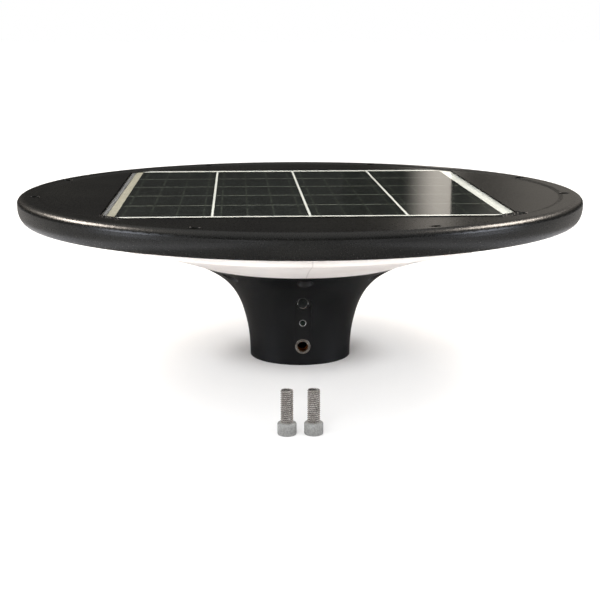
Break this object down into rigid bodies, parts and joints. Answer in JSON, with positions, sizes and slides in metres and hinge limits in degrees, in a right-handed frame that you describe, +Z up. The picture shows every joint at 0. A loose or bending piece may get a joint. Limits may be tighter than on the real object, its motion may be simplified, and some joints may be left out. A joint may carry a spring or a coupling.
{
  "type": "solar post top light",
  "caption": "Round solar light for a post top: a solar panel in a disc head, a frosted light cone under it, and a flared neck with a button, clamped on a pole by screws.",
  "frame": {"origin": "on the axis of the pole socket, at the foot of the neck", "axes": "+Z up along the pole; the button and indicator face -Y; the bolts stand in front at -Y"},
  "size_m": [0.4999, 0.5, 0.1518],
  "materials": {
    "cover_plastic": "satin black",
    "shell_plastic": "satin black",
    "neck_plastic": "satin black, fine texture",
    "bezel_plastic": "gloss black",
    "cap_plastic": "textured",
    "panel_glass": "clear tempered",
    "silicon_cell": "dark mono cell",
    "backsheet": "white",
    "ribbon": "tinned",
    "black_silicone": "glossy",
    "junction_plastic": "moulded",
    "gasket_rubber": "matte",
    "frosted_polycarbonate": "frosted",
    "cast_aluminium": "as cast",
    "stainless_screw": "bright",
    "black_screw": "black oxide",
    "zinc_steel": "zinc plated",
    "white_board": "white solder mask",
    "led_package": "phosphor yellow",
    "reflector_sheet": "white",
    "brass": "machined, nickel flange",
    "chrome": "bright",
    "green_board": "green solder mask",
    "black_component": "moulded",
    "clear_lens": "clear",
    "led_epoxy": "tinted clear",
    "battery_wrap": "shrink wrap",
    "tray_plastic": "moulded",
    "strap_web": "woven",
    "terminal_plastic": "moulded green",
    "cable_jacket": "jacket"
  },
  "bodies": {
    "lamp": {"top_cover": "cover_plastic", "cover_screws": "black_screw", "panel_backsheet": "backsheet", "solar_cells": "silicon_cell", "cell_ribbons": "ribbon", "panel_glass": "panel_glass", "panel_sealant": "black_silicone", "panel_junction_box": "junction_plastic", "bottom_shell": "shell_plastic", "rim_gasket": "gasket_rubber", "diffuser": "frosted_polycarbonate", "upper_gasket": "gasket_rubber", "lower_gasket": "gasket_rubber", "chassis": "cast_aluminium", "chassis_screws": "stainless_screw", "led_board": "white_board", "led_chips": "led_package", "led_screws": "stainless_screw", "reflector": "reflector_sheet", "neck_shell": "neck_plastic", "neck_screws": "black_screw", "pole_sleeve": "zinc_steel", "sleeve_screws": "stainless_screw", "clamp_insert_front": "brass", "clamp_insert_rear": "brass", "button_bezel": "bezel_plastic", "button_trim": "chrome", "button_seal": "gasket_rubber", "control_board": "green_board", "control_board_screws": "stainless_screw", "tact_switch": "black_component", "indicator_bezel": "chrome", "indicator_lens": "clear_lens", "indicator_led": "led_epoxy", "battery_cells": "battery_wrap", "battery_tray": "tray_plastic", "battery_straps": "strap_web", "controller_board": "green_board", "controller_posts": "brass", "controller_parts": "black_component", "controller_terminals": "terminal_plastic", "panel_cable": "cable_jacket", "battery_cable": "cable_jacket", "led_cable": "cable_jacket", "control_cable": "cable_jacket"},
    "button": {"button_cap": "cap_plastic"},
    "bolt_left": {"clamp_bolt_left": "stainless_screw"},
    "bolt_right": {"clamp_bolt_right": "stainless_screw"}
  },
  "joints": [
    {"name": "button_press", "type": "slide", "parent": "lamp", "child": "button", "axis": [0, 1, 0], "range_m": [0, 0.001], "stiffness_N_per_m": 1200},
    {"name": "bolt_left_lift", "type": "slide", "parent": "lamp", "child": "bolt_left", "axis": [0, 0, 1], "range_m": [0, 0.05]},
    {"name": "bolt_right_lift", "type": "slide", "parent": "lamp", "child": "bolt_right", "axis": [0, 0, 1], "range_m": [0, 0.05]}
  ]
}
